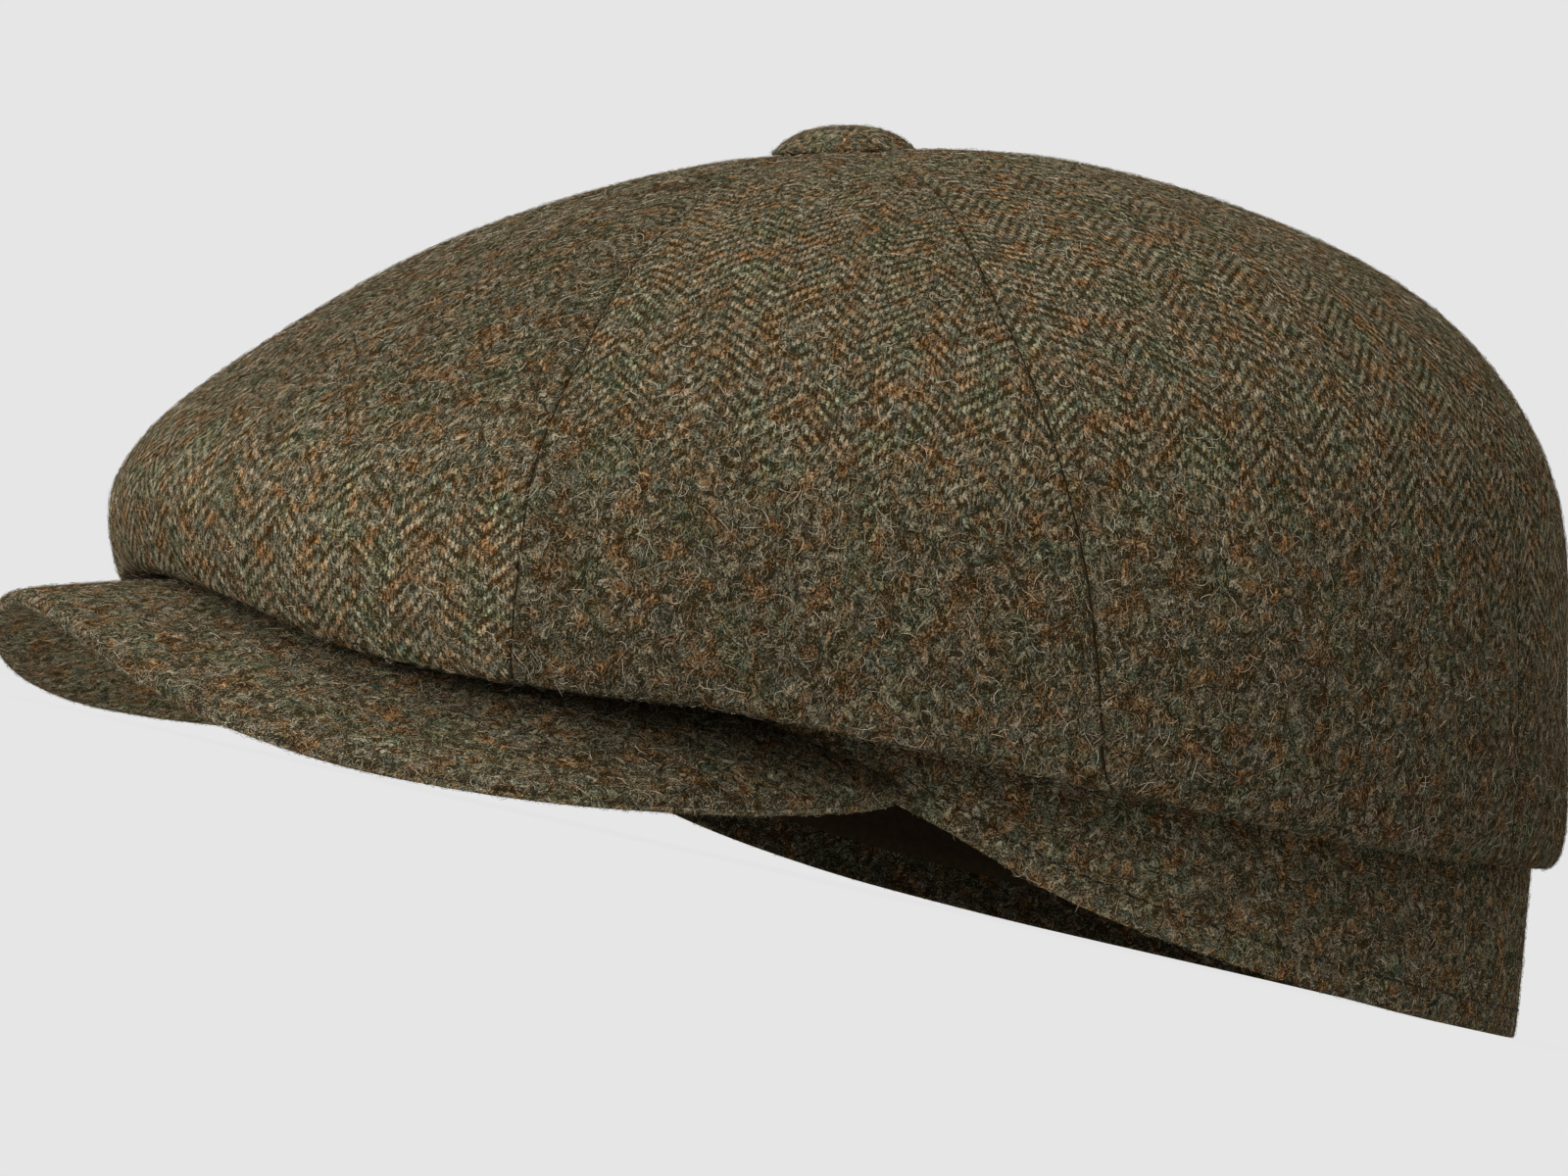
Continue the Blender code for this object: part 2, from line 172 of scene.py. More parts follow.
GROUND_WOOLS = (
    (0.00, (0.0165, 0.0105, 0.0034)),
    (0.34, (0.0240, 0.0155, 0.0050)),
    (0.48, (0.0155, 0.0130, 0.0052)),
    (0.58, (0.0310, 0.0185, 0.0062)),
    (0.72, (0.0170, 0.0175, 0.0090)),
)
YARN_WOOLS = (
    (0.00, (0.1880, 0.1140, 0.0560)),
    (0.28, (0.2450, 0.1750, 0.0930)),
    (0.38, (0.3100, 0.2580, 0.1740)),
    (0.47, (0.1750, 0.1530, 0.0930)),
    (0.55, (0.3300, 0.2870, 0.2080)),
    (0.63, (0.2350, 0.1830, 0.1060)),
    (0.72, (0.1450, 0.1430, 0.0950)),
    (0.90, (0.1260, 0.1310, 0.0960)),
)


class Reading:
    """A value that changes over a surface. Sums on it add Math nodes to its material."""

    def __init__(self, finish, socket):
        self.finish = finish
        self.socket = socket

    def math(self, operation, *others):
        return self.finish.node("Math", {"operation": operation}, dict(enumerate((self, *others))))

    def __add__(self, other):
        return self.math("ADD", other)

    def __sub__(self, other):
        return self.math("SUBTRACT", other)

    def __mul__(self, other):
        return self.math("MULTIPLY", other)

    def __rsub__(self, other):
        return self.finish.node("Math", {"operation": "SUBTRACT"}, {0: other, 1: self})

    __radd__ = __add__
    __rmul__ = __mul__


class Finish:
    """A material, to which every node is added by one method."""

    def __init__(self, name):
        self.material = bpy.data.materials.new(name)
        self.material.use_nodes = True
        self.tree = self.material.node_tree
        self.tree.nodes.clear()

    def node(self, kind, settings, values, output=0):
        made = self.tree.nodes.new("ShaderNode" + kind)
        for name, setting in settings.items():
            if name == "stops":
                for at, (place, colour) in enumerate(setting):
                    stop = made.color_ramp.elements[at] if at < 2 else made.color_ramp.elements.new(place)
                    stop.position = place
                    stop.color = (*colour, 1)
            else:
                setattr(made, name, setting)
        for key, value in values.items():
            if isinstance(value, Reading):
                self.tree.links.new(value.socket, made.inputs[key])
            else:
                made.inputs[key].default_value = value
        return Reading(self, made.outputs[output]) if made.outputs else None

    def noise(self, place, size, detail=2.0, output=0):
        return self.node("TexNoise", {"noise_dimensions": "2D"},
                         {"Vector": place, "Scale": 1 / size, "Detail": detail}, output)

    def stretch(self, place, across, along):
        return self.node("VectorMath", {"operation": "MULTIPLY"}, {0: place, 1: (1 / across, 1 / along, 1)})

    def mix(self, share, first, second):
        return self.node("Mix", {"data_type": "RGBA"}, {0: share, 6: first, 7: second}, 2)

    def cover(self, colour, roughness, height=None, relief=0.0, shine=0.0):
        """Ends the material in one shader, with a relief in metres where there is a height."""
        values = {"Base Color": colour, "Roughness": roughness, "Specular IOR Level": shine}
        if height is not None:
            raised = {"Height": height, "Distance": relief, "Strength": 1.0}
            values["Normal"] = self.node("Bump", {}, raised)
        shader = self.node("BsdfPrincipled", {}, values)
        self.node("OutputMaterial", {}, {"Surface": shader})
        return self.material


def stray(one_way, other_way, waves, work_out):
    """How far the yarns stray at a place, in waves that are themselves bent."""
    turns, cross_turns, bend = waves
    return work_out("SINE", one_way * turns + work_out("SINE", other_way * cross_turns) * bend) * WANDER


def herringbone(across, along, work_out):
    """At a place on the cloth: how far the pale yarn is up, -1 to 1, how far the place is from that
    yarn's sides, 0 to 1, the yarn, and the place along its stitches. The yarns wander a little."""
    bent = across + stray(along, across, BEND_WAVES, work_out)
    slid = along + stray(across, along, SLIDE_WAVES, work_out)
    yarn = work_out("SNAP", bent, YARN_WIDTH)
    slid = slid - work_out("PINGPONG", yarn, COLUMN_WIDTH)
    up = work_out("SINE", slid * (math.tau / TWILL_PITCH))
    return up, work_out("SINE", (bent - yarn) * (math.pi / YARN_WIDTH)), yarn, slid


def patches(rise):
    """Soft patches where a noise rises over its edge, 0 outside them."""
    return rise.math("MAXIMUM", 0.0).math("MINIMUM", PATCH_RISE) * PATCH_CONTRAST


def make_tweed(name, lightness):
    tweed = Finish(name)
    clear = tweed.node("Attribute", {"attribute_name": CLEAR_WEAVE}, {}, 2)
    paleness = tweed.node("Attribute", {"attribute_name": TONE_AND_LIGHT}, {}, 2)
    cloth = tweed.node("UVMap", {"uv_map": CLOTH_MAP}, {})
    place = tweed.node("VectorMath", {"operation": "SCALE"}, {0: cloth, "Scale": 1 / MM})

    # Felting moves the yarns about, most where the weave is least clear.
    fuzz = tweed.noise(place, FUZZ_SIZE, output=1)
    sway = tweed.node("VectorMath", {"operation": "SUBTRACT"},
                      {0: tweed.noise(place, SWAY_SIZE, SWAY_DETAIL, output=1), 1: (0.5, 0.5, 0.5)})
    sway = tweed.node("VectorMath", {"operation": "SCALE"}, {0: sway, "Scale": (1 - clear) * SWAY})
    felted = tweed.node("VectorMath", {"operation": "MULTIPLY_ADD"}, {0: fuzz, 1: FUZZ_SHIFT, 2: place})
    felted = tweed.node("VectorMath", {"operation": "ADD"}, {0: felted, 1: sway})
    across = tweed.node("SeparateXYZ", {}, {0: felted})
    along = tweed.node("SeparateXYZ", {}, {0: felted}, 1)
    up, ridge, yarn, slid = herringbone(
        across, along, lambda kind, value, *others: value.math(kind, *others))

    # Each stitch takes its own lightness, and each length of yarn the wools of its hank.
    stitch = tweed.node("CombineXYZ", {}, {0: yarn, 1: slid.math("SNAP", TWILL_PITCH / 2)})
    dash = tweed.node("TexWhiteNoise", {"noise_dimensions": "2D"}, {"Vector": stitch})
    hank = tweed.noise(tweed.stretch(felted, HANK_WIDTH, HANK_LENGTH), 1.0, HANK_DETAIL, output=1)
    yarn_hue = (tweed.node("SeparateColor", {}, {0: hank}) - 0.5) * HANK_CONTRAST + 0.5
    ground_hue = (tweed.node("SeparateColor", {}, {0: hank}, 1) - 0.5) * HANK_CONTRAST + 0.5
    hairs = tweed.noise(tweed.stretch(felted, HAIR_WIDTH, HAIR_LENGTH), 1.0, FLECK_DETAIL)
    specks = tweed.noise(place, SPECK_SIZE, FLECK_DETAIL)
    tuft = tweed.noise(place, TUFT_SIZE, FLECK_DETAIL)
    shares = LIGHT_SHARES
    light = up * (clear * shares["weave"] + shares["felted_weave"])
    # Each yarn is darker towards its sides, partly as the dark ground shows there and partly as painted
    # shade between the yarns.
    light = light + (dash - 0.5) * shares["dash"] + (ridge - RIDGE_MEAN) * shares["ridge"]
    light = light + (hairs - 0.5) * shares["hairs"] + (specks - 0.5) * shares["specks"]
    light = light + (tuft - 0.5) * shares["tuft"] + LIGHT_LEVEL
    light = light.math("MAXIMUM", 0.0).math("MINIMUM", 1.0)
    ground = tweed.node("ValToRGB", {"stops": GROUND_WOOLS}, {0: ground_hue})
    wool = tweed.node("ValToRGB", {"stops": YARN_WOOLS}, {0: yarn_hue})
    colour = tweed.mix(light, ground, wool)

    # Rust and green wools gather in soft patches.
    rust = patches(tweed.noise(place, RUST_SIZE, PATCH_DETAIL) - PATCH_EDGE)
    green = patches(PATCH_EDGE - tweed.noise(place, GREEN_SIZE, PATCH_DETAIL))
    tint = tweed.mix(rust, (1.0, 1.0, 1.0, 1), RUST_TINT)
    tint = tweed.mix(green, tint, GREEN_TINT)
    colour = tweed.node("VectorMath", {"operation": "MULTIPLY"}, {0: colour, 1: tint})
    # The attribute and the lightness scale the colour; they hold the tweed's own tone together with painted
    # light and shade.
    colour = tweed.node("VectorMath", {"operation": "SCALE"}, {0: colour, "Scale": paleness * lightness})
    shares = HEIGHT_SHARES
    height = light * shares["light"] + tuft * shares["tuft"] + ridge * shares["ridge"]
    return tweed.cover(colour, 1.0, height, RELIEF)


crown_tweed = make_tweed("crown_tweed", lightness=0.825)
felted_tweed = make_tweed("felted_tweed", lightness=0.985)
# A copy of the tweed painted paler, as painted light, for the underside of the peak.
under_tweed = make_tweed("under_tweed", lightness=1.75)
# A copy of the tweed painted darker, as painted shade, for the inward faces of the band.
hem_tweed = make_tweed("hem_tweed", lightness=0.30)


# The head band: a strip of doubled felted tweed, joined behind, its lower edge turned up inside. Its
# tweed is painted paler at the front, as painted light, and darker towards the back, as painted shade.
# As each piece of cloth does, it starts as a copy of its CAD node, with the node's triangles joined
# into few faces. Its cut sides are the faces between two sharp edges.
BAND_WEAVE = 0.25
BAND_PAINTED_LIGHT = 1.30
BAND_PAINTED_SHADE = 0.35
BAND_SHADE_FROM = 10 * MM
BAND_SHADE_TO = 90 * MM
BAND_CREASE = 0.5
SAME_POINT = 0.001 * MM
FLAT_ANGLE = math.radians(60)
SQUARE_ANGLE = math.radians(120)
CUT_ANGLE = math.radians(50)
ROUNDING = 2


def is_cut_edge(edge):
    return edge.is_manifold and edge.calc_face_angle() > CUT_ANGLE


def cut_sides(cloth):
    return [face for face in cloth.faces if sum(is_cut_edge(edge) for edge in face.edges) > 1]


def cut_from(node, name, material, pull_at=lambda place: 0.0):
    """A new piece that takes a CAD node's place, its cut sides pulled out towards its neighbours."""
    cloth = bmesh.new()
    cloth.from_mesh(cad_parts[node].data)
    bmesh.ops.remove_doubles(cloth, verts=cloth.verts, dist=SAME_POINT)
    bmesh.ops.join_triangles(cloth, faces=cloth.faces, angle_face_threshold=FLAT_ANGLE,
                             angle_shape_threshold=SQUARE_ANGLE)
    pulls = {}
    for face in cut_sides(cloth):
        for vert in face.verts:
            pulls[vert] = pulls.get(vert, Vector()) + face.normal
    for vert, pull in pulls.items():
        vert.co += pull.normalized() * pull_at(vert.co)
    mesh = bpy.data.meshes.new(name)
    cloth.to_mesh(mesh)
    cloth.free()
    if "custom_normal" in mesh.attributes:
        mesh.attributes.remove(mesh.attributes["custom_normal"])
    mesh.materials.clear()
    mesh.materials.append(material)
    piece = bpy.data.objects.new(name, mesh)
    bpy.context.scene.collection.objects.link(piece)
    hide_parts(node)
    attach(piece, "root")
    return piece


def round_off(piece, crease):
    """Rounds the cloth with a subdivision that keeps its cut edges crisp, and shades it smooth."""
    mesh = piece.data
    builder = bmesh.new()
    builder.from_mesh(mesh)
    creases = builder.edges.layers.float.new("crease_edge")
    for edge in builder.edges:
        if is_cut_edge(edge):
            edge[creases] = crease
    builder.to_mesh(mesh)
    builder.free()
    mesh.shade_smooth()
    rounding = piece.modifiers.new("rounding", "SUBSURF")
    rounding.levels = rounding.render_levels = ROUNDING


def wear(piece, how_clear, how_pale):
    """Writes how clearly the herringbone shows at each point, as felting hides it in places, and
    how pale the tweed is painted there: its own tone, with painted light and shade in places."""
    for name, measure in ((CLEAR_WEAVE, how_clear), (TONE_AND_LIGHT, how_pale)):
        layer = piece.data.attributes.new(name, "FLOAT", "POINT")
        for vert in piece.data.vertices:
            layer.data[vert.index].value = measure(vert.co)


def fade(value, low, high):
    """0 below low, 1 above high, and between them even steps."""
    return min(max((value - low) / (high - low), 0.0), 1.0)


# Painted light and shade: the band's tweed is paler at the front and darker towards the back.
def band_painted_light_and_shade(place):
    return BAND_PAINTED_LIGHT - BAND_PAINTED_SHADE * fade(place.y, BAND_SHADE_FROM, BAND_SHADE_TO)


def new_cloth_map(mesh):
    """An empty cloth map, in place of the maps that the mesh had."""
    for old_map in list(mesh.uv_layers):
        mesh.uv_layers.remove(old_map)
    return mesh.uv_layers.new(name=CLOTH_MAP)


def wrap_round(piece, middle):
    """Lays a ring's cloth map round the head: its length round the ring, its width up the wall."""
    mesh = piece.data
    layer = new_cloth_map(mesh)
    radius = sum(piece.dimensions[:2]) / 4
    for face in mesh.polygons:
        centre = face.center - middle
        base = math.atan2(centre.x, centre.y)
        for loop in face.loop_indices:
            point = mesh.vertices[mesh.loops[loop].vertex_index].co - middle
            angle = math.atan2(point.x, point.y)
            angle += math.tau * round((base - angle) / math.tau)
            layer.data[loop].uv = (point.z, angle * radius)


band = cut_from("head_band", "band_tweed", felted_tweed)
# The band's inward faces, inside the cap, take the tweed that is painted darker as painted shade.
band.data.materials.append(hem_tweed)
for face in band.data.polygons:
    if (face.center - head_middle).to_2d().dot(face.normal.to_2d()) < 0:
        face.material_index = 1
wear(band, lambda place: BAND_WEAVE, band_painted_light_and_shade)
round_off(band, BAND_CREASE)
wrap_round(band, head_middle)


# The sweatband: a thin dark cotton tape, ribbed up and down, sewn in above the hem. Its mesh is cut
# into columns between those of the CAD, and every other one stands out as a rib.
RIB_CUTS = 10
RIB_DEPTH = 0.12 * MM
SHORTEST_COLUMN = 3 * MM
HEADING_DIGITS = 3
SAME_HEADING = 0.0005
TAPE_DARK = (0.006, 0.004, 0.002, 1)
TAPE_PALE = (0.018, 0.012, 0.007, 1)
TAPE_GRAIN = 900.0
TAPE_DETAIL = 3.0
TAPE_ROUGHNESS = 0.85
TAPE_RELIEF = 0.1 * MM

ribbed = Finish("ribbed_tape")
tape_place = ribbed.node("TexCoord", {}, {}, 3)
tape_noise = ribbed.node("TexNoise", {}, {"Vector": tape_place, "Scale": TAPE_GRAIN, "Detail": TAPE_DETAIL})
tape_colour = ribbed.mix(tape_noise, TAPE_DARK, TAPE_PALE)
tape_material = ribbed.cover(tape_colour, TAPE_ROUGHNESS, tape_noise, TAPE_RELIEF)
sweatband = cut_from("sweatband", "ribbed_sweatband", tape_material)


def heading_of(point):
    return math.atan2(point.x - head_middle.x, point.y - head_middle.y)


tape = bmesh.new()
tape.from_mesh(sweatband.data)
columns = sorted({round(heading_of(vert.co), HEADING_DIGITS) for vert in tape.verts})
round_the_head = [edge for edge in tape.edges
                  if (edge.verts[0].co - edge.verts[1].co).to_2d().length > SHORTEST_COLUMN]
bmesh.ops.subdivide_edges(tape, edges=round_the_head, cuts=RIB_CUTS - 1, use_grid_fill=True)
headings = np.array(columns + [columns[0] + math.tau])
tape.normal_update()
for vert in tape.verts:
    heading = heading_of(vert.co)
    heading += math.tau * (heading < columns[0] - SAME_HEADING)
    step = round(float(np.interp(heading, headings, np.arange(len(headings)) * RIB_CUTS)))
    if step % 2:
        vert.co += vert.normal * RIB_DEPTH
tape.to_mesh(sweatband.data)
tape.free()
sweatband.data.shade_smooth()


# The peak: felted tweed over both faces of a stiff board, with a soft roll round its rim. The tweed
# underneath is painted paler, as painted light that stands in for the light it takes from below.
PEAK_WEAVE = 0.2
PEAK_PALENESS = 0.96
PEAK_CREASE = 0.12
UNDERSIDE_SLOPE = -0.3
UNWRAP_MARGIN = 0.01
LEAST_SLOPE = 1e-9
LEAST_AREA = 1e-12


def sides_of(cloth, parted_at):
    """The cloth's faces as lists, each of faces that join across edges where it isn't parted."""
    waiting = set(cloth.faces)
    sides = []
    while waiting:
        side = [waiting.pop()]
        for face in side:
            for edge in face.edges:
                fresh = [other for other in edge.link_faces if other in waiting and not parted_at(edge)]
                waiting.difference_update(fresh)
                side.extend(fresh)
        sides.append(side)
    return sides


def faces_out(side):
    """How much of a side faces away from the middle of the head."""
    return sum((face.calc_center_median() - head_middle).dot(face.normal) * face.calc_area()
               for face in side)


def part_sides(cloth):
    """Marks where the cloth is parted to lay it flat. The outer side keeps the cut sides, over which
    its cloth turns."""
    outer = set(max(sides_of(cloth, is_cut_edge), key=faces_out))
    outer_cuts = [edge for edge in cloth.edges
                  if is_cut_edge(edge) and not outer.isdisjoint(edge.link_faces)]
    joined = outer.union(*(edge.link_faces for edge in outer_cuts))
    for edge in cloth.edges:
        leaves_it = sum(face in joined for face in edge.link_faces) == 1
        edge.seam = leaves_it or (is_cut_edge(edge) and outer.isdisjoint(edge.link_faces))


def straighten(side, layer, start):
    """Turns and scales one side's map to the cloth's own size, its length running away from start."""
    corners = [loop for face in side for loop in face.loops]
    flat = np.array([loop[layer].uv for loop in corners])
    reach = np.array([(loop.vert.co - start).length for loop in corners])
    slope = np.linalg.lstsq(np.c_[flat, np.ones(len(flat))], reach, rcond=None)[0][:2]
    slope /= max(np.linalg.norm(slope), LEAST_SLOPE)
    drawn = 0
    for face in side:
        points = [loop[layer].uv for loop in face.loops]
        drawn += abs(sum(a.x * b.y - b.x * a.y for a, b in zip(points, points[1:] + points[:1]))) / 2
    scale = math.sqrt(sum(face.calc_area() for face in side) / max(drawn, LEAST_AREA))
    flat = np.c_[flat @ (slope[1], -slope[0]), flat @ slope] * scale
    flat += (0, reach.mean()) - flat.mean(axis=0)
    for loop, place in zip(corners, flat):
        loop[layer].uv = place


def lay_flat(piece, start):
    """Maps the piece as its cloth was cut, in metres, each side with its length away from start."""
    mesh = piece.data
    new_cloth_map(mesh)
    builder = bmesh.new()
    builder.from_mesh(mesh)
    part_sides(builder)
    builder.to_mesh(mesh)
    builder.free()
    for other in bpy.context.selected_objects:
        other.select_set(False)
    bpy.context.view_layer.objects.active = piece
    piece.select_set(True)
    bpy.ops.object.mode_set(mode="EDIT")
    bpy.ops.mesh.select_all(action="SELECT")
    bpy.ops.uv.unwrap(method="MINIMUM_STRETCH", margin=UNWRAP_MARGIN)
    bpy.ops.object.mode_set(mode="OBJECT")
    builder = bmesh.new()
    builder.from_mesh(mesh)
    layer = builder.loops.layers.uv.active
    for side in sides_of(builder, lambda edge: edge.seam):
        straighten(side, layer, start)
    builder.to_mesh(mesh)
    builder.free()


peak_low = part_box("peak")[0]
peak = cut_from("peak", "peak_tweed", felted_tweed)
lay_flat(peak, head_middle)
# Faces that look down take the tweed that is painted paler as painted light.
peak.data.materials.append(under_tweed)
for face in peak.data.polygons:
    if face.normal.z < UNDERSIDE_SLOPE:
        face.material_index = 1
wear(peak, lambda place: PEAK_WEAVE, lambda place: PEAK_PALENESS)
round_off(peak, PEAK_CREASE)


# The crown: eight panels of tweed, seamed together from the button to the fold over the band. From
# the front pair back, the weave shows between two heights in each pair of panels.
PANELS = 8
SEAM_PULL = 0.10 * MM
SEAM_TIGHTNESS = 0.03 * MM
TIGHT_WITHIN = 35 * MM
LOOSE_BEYOND = 70 * MM
SEAM_PUCKER = 0.008 * MM
PUCKER_TURNS = (610, 830, 710)
CROWN_CREASE = 0.38
CLEAR_FROM = (-1.0, 57 * MM, 68 * MM, 60 * MM)
CLEAR_TO = (47 * MM, 104 * MM, 112 * MM, 108 * MM)
CLEAR_FADE = 12 * MM
FELTED_WEAVE = 0.25
TOP_FELTING = 0.6
# Painted light: low down over the peak, the front pair's tweed is painted paler.
FRONT_PALENESS = 0.94
FRONT_PAINTED_LIGHT_LOW = 0.46
FRONT_LIGHT_FROM = 38 * MM
FRONT_LIGHT_TO = 62 * MM
BACK_PALENESS = 0.95
BACK_PALER_HIGH = 0.12
BACK_PALER_FROM = 50 * MM
BACK_PALER_TO = 70 * MM

button_low, button_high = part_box("top_button")
button_middle = (button_low + button_high) / 2


def weave_at(height, row):
    shown = fade(height, CLEAR_FROM[row] - CLEAR_FADE / 2, CLEAR_FROM[row] + CLEAR_FADE / 2)
    hidden = fade(height, CLEAR_TO[row] - CLEAR_FADE / 2, CLEAR_TO[row] + CLEAR_FADE / 2)
    return FELTED_WEAVE + (1 - FELTED_WEAVE) * shown * (1 - TOP_FELTING * hidden)


def tone_and_light_at(place, row):
    """Front pair: painted palest low down over the peak, as painted light; the others a little paler higher
    up.
    """
    if row == 0:
        return FRONT_PALENESS + FRONT_PAINTED_LIGHT_LOW * fade(-place.z, -FRONT_LIGHT_TO, -FRONT_LIGHT_FROM)
    return BACK_PALENESS + BACK_PALER_HIGH * fade(place.z, BACK_PALER_FROM, BACK_PALER_TO)


def seam_pull(place):
    """Tighter near the button, and a little uneven, as the stitches draw the cloth together."""
    tight = 1 - fade((place - button_middle).length, TIGHT_WITHIN, LOOSE_BEYOND)
    uneven = sum(math.sin(along * turns) for along, turns in zip(place, PUCKER_TURNS))
    return SEAM_PULL + SEAM_TIGHTNESS * tight + SEAM_PUCKER * uneven


panels = []
for number in range(PANELS):
    node = f"crown_panel_{number + 1}"
    panel = cut_from(node, f"{node}_tweed", crown_tweed, seam_pull)
    lay_flat(panel, button_middle)
    row = min(number, PANELS - 1 - number)
    wear(panel, lambda place: weave_at(place.z, row), lambda place: tone_and_light_at(place, row))
    round_off(panel, CROWN_CREASE)
    panels.append(panel)


# The button: tweed stretched over a low dome where the panels meet. Its cloth is drawn down over the
# dome's sides, and is paler than the crown's.
BUTTON_WEAVE = 0.5
BUTTON_PALENESS = 1.38

button = cut_from("top_button", "button_tweed", crown_tweed)
button.data.uv_layers.new(name=CLOTH_MAP)
for loop in button.data.loops:
    point = button.data.vertices[loop.vertex_index].co
    outward = (point - button_middle).to_2d()
    reach = outward.length + button_high.z - point.z
    button.data.uv_layers[CLOTH_MAP].data[loop.index].uv = outward.normalized() * reach
wear(button, lambda place: BUTTON_WEAVE, lambda place: BUTTON_PALENESS)
round_off(button, 0.0)


# The sewing: a dark cotton thread in running stitches above the band's lower edge, and in the seam
# that closes the peak's two faces along its rim.
THREAD_COLOUR = (0.012, 0.009, 0.006, 1)
THREAD_ROUGHNESS = 0.8
THREAD_SHINE = 0.1
SEWING_THREAD = 0.28 * MM
SEWING_SIDES = 6
HEM_HEIGHT = 5.0 * MM
STITCH_LENGTH = 2.1 * MM
STITCH_STEP = 2.9 * MM
STITCH_SHARES = (0.0, 0.2, 0.8, 1.0)
STITCH_DEPTHS = (-0.16 * MM, 0.10 * MM, 0.10 * MM, -0.16 * MM)
RIM_HEIGHT = 0.9 * MM
RIM_THREAD = 0.14 * MM
RIM_DEPTH = 0.04 * MM
RIM_STEP = 1.2 * MM
RIM_SPAN = math.radians(62)
EDGE_VIEW = math.radians(2)
OUTER_REACH = 2.0 * MM
START_OUTSIDE = 1.0 * MM

thread_material = Finish("sewing_thread").cover(THREAD_COLOUR, THREAD_ROUGHNESS, shine=THREAD_SHINE)


def above_edge(piece, height):
    """A function from a heading to the point on the outside of a piece about that high above its
    lower edge, with the normal there."""
    shape = piece.evaluated_get(bpy.context.evaluated_depsgraph_get()).to_mesh()
    points = [v.co.copy() for v in shape.vertices]
    surface = BVHTree.FromPolygons(points, [tuple(face.vertices) for face in shape.polygons])
    from_middle = np.array(points) - np.array(head_middle)
    distances = np.hypot(from_middle[:, 0], from_middle[:, 1])
    directions = np.arctan2(from_middle[:, 0], -from_middle[:, 1])

    def point_at(direction):
        near = np.abs((directions - direction + math.pi) % math.tau - math.pi) < EDGE_VIEW
        outer = near & (distances > distances[near].max() - OUTER_REACH)
        outside = distances[near].max() + START_OUTSIDE
        start = head_middle + Vector((math.sin(direction), -math.cos(direction), 0)) * outside
        start.z = from_middle[outer, 2].min() + height
        place, normal = surface.find_nearest(start)[:2]
        return place, normal

    return point_at


def sew(name, runs, thickness, material):
    """A thread through each run of points and normals, closed at its ends, all in one mesh."""
    builder = bmesh.new()
    for run in runs:
        rings = []
        for at, (place, normal) in enumerate(run):
            ahead = run[min(at + 1, len(run) - 1)][0] - run[max(at - 1, 0)][0]
            side = ahead.cross(normal).normalized()
            up = side.cross(ahead).normalized()
            turns = [math.tau * step / SEWING_SIDES for step in range(SEWING_SIDES)]
            rings.append([builder.verts.new(
                place + (side * math.cos(t) + up * math.sin(t)) * thickness / 2) for t in turns])
        for first, second in zip(rings, rings[1:]):
            for step in range(SEWING_SIDES):
                after = (step + 1) % SEWING_SIDES
                builder.faces.new((first[step], first[after], second[after], second[step]))
        builder.faces.new(rings[0])
        builder.faces.new(rings[-1])
    bmesh.ops.recalc_face_normals(builder, faces=builder.faces)
    mesh = bpy.data.meshes.new(name)
    builder.to_mesh(mesh)
    builder.free()
    mesh.shade_smooth()
    mesh.materials.append(material)
    thread = bpy.data.objects.new(name, mesh)
    bpy.context.scene.collection.objects.link(thread)
    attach(thread, "root")


hem_at = above_edge(band, HEM_HEIGHT)
band_radius = sum(band.dimensions[:2]) / 4
stitches = []
direction = RIM_SPAN
while direction < math.tau - RIM_SPAN:
    stitch = []
    for share, depth in zip(STITCH_SHARES, STITCH_DEPTHS):
        place, normal = hem_at(direction + share * STITCH_LENGTH / band_radius)
        stitch.append((place + normal * depth, normal))
    stitches.append(stitch)
    direction += STITCH_STEP / band_radius
sew("hem_stitches", stitches, SEWING_THREAD, thread_material)

rim_at = above_edge(peak, RIM_HEIGHT)
rim_steps = round(2 * RIM_SPAN * (head_middle.y - peak_low.y) / RIM_STEP)
rim_line = [rim_at(RIM_SPAN * (2 * step / rim_steps - 1)) for step in range(rim_steps + 1)]
rim_line = [(place - normal * RIM_DEPTH, normal) for place, normal in rim_line]
sew("rim_seam", [rim_line], RIM_THREAD, thread_material)


# The turned-in cloth: at the bottom of each seam of the crown the two panels' edges turn in and
# close it, as a roll halfway through the cloth, painted near black as painted shade down in the seam.
TURNED_IN_SHADE_COLOUR = (0.012, 0.008, 0.004, 1)
TURNED_IN = 0.7 * MM
SEAM_REACH = 0.8 * MM

turned_in_shade_material = Finish("turned_in_tweed").cover(TURNED_IN_SHADE_COLOUR, 1.0)


def cut_middles(piece):
    """The middles of the cut sides of a piece's cloth, halfway through its thickness."""
    cloth = bmesh.new()
    cloth.from_mesh(piece.data)
    middles = [face.calc_center_median() for face in cut_sides(cloth)]
    cloth.free()
    return middles


def seam_between(panel, neighbour):
    """The line halfway between two panels' cut sides, from the button down."""
    others = cut_middles(neighbour)
    across_seam = KDTree(len(others))
    for at, middle in enumerate(others):
        across_seam.insert(middle, at)
    across_seam.balance()
    left = [(middle + found) / 2 for middle in cut_middles(panel)
            for found, at, gap in [across_seam.find(middle)] if gap < SEAM_REACH]
    line = [min(left, key=lambda point: (point - button_middle).length)]
    left.remove(line[0])
    while left:
        line.append(min(left, key=lambda point: (point - line[-1]).length))
        left.remove(line[-1])
    return [(point, (point - head_middle).normalized()) for point in line]


seam_lines = [seam_between(panel, panels[(at + 1) % PANELS]) for at, panel in enumerate(panels)]
sew("crown_seams", seam_lines, TURNED_IN, turned_in_shade_material)


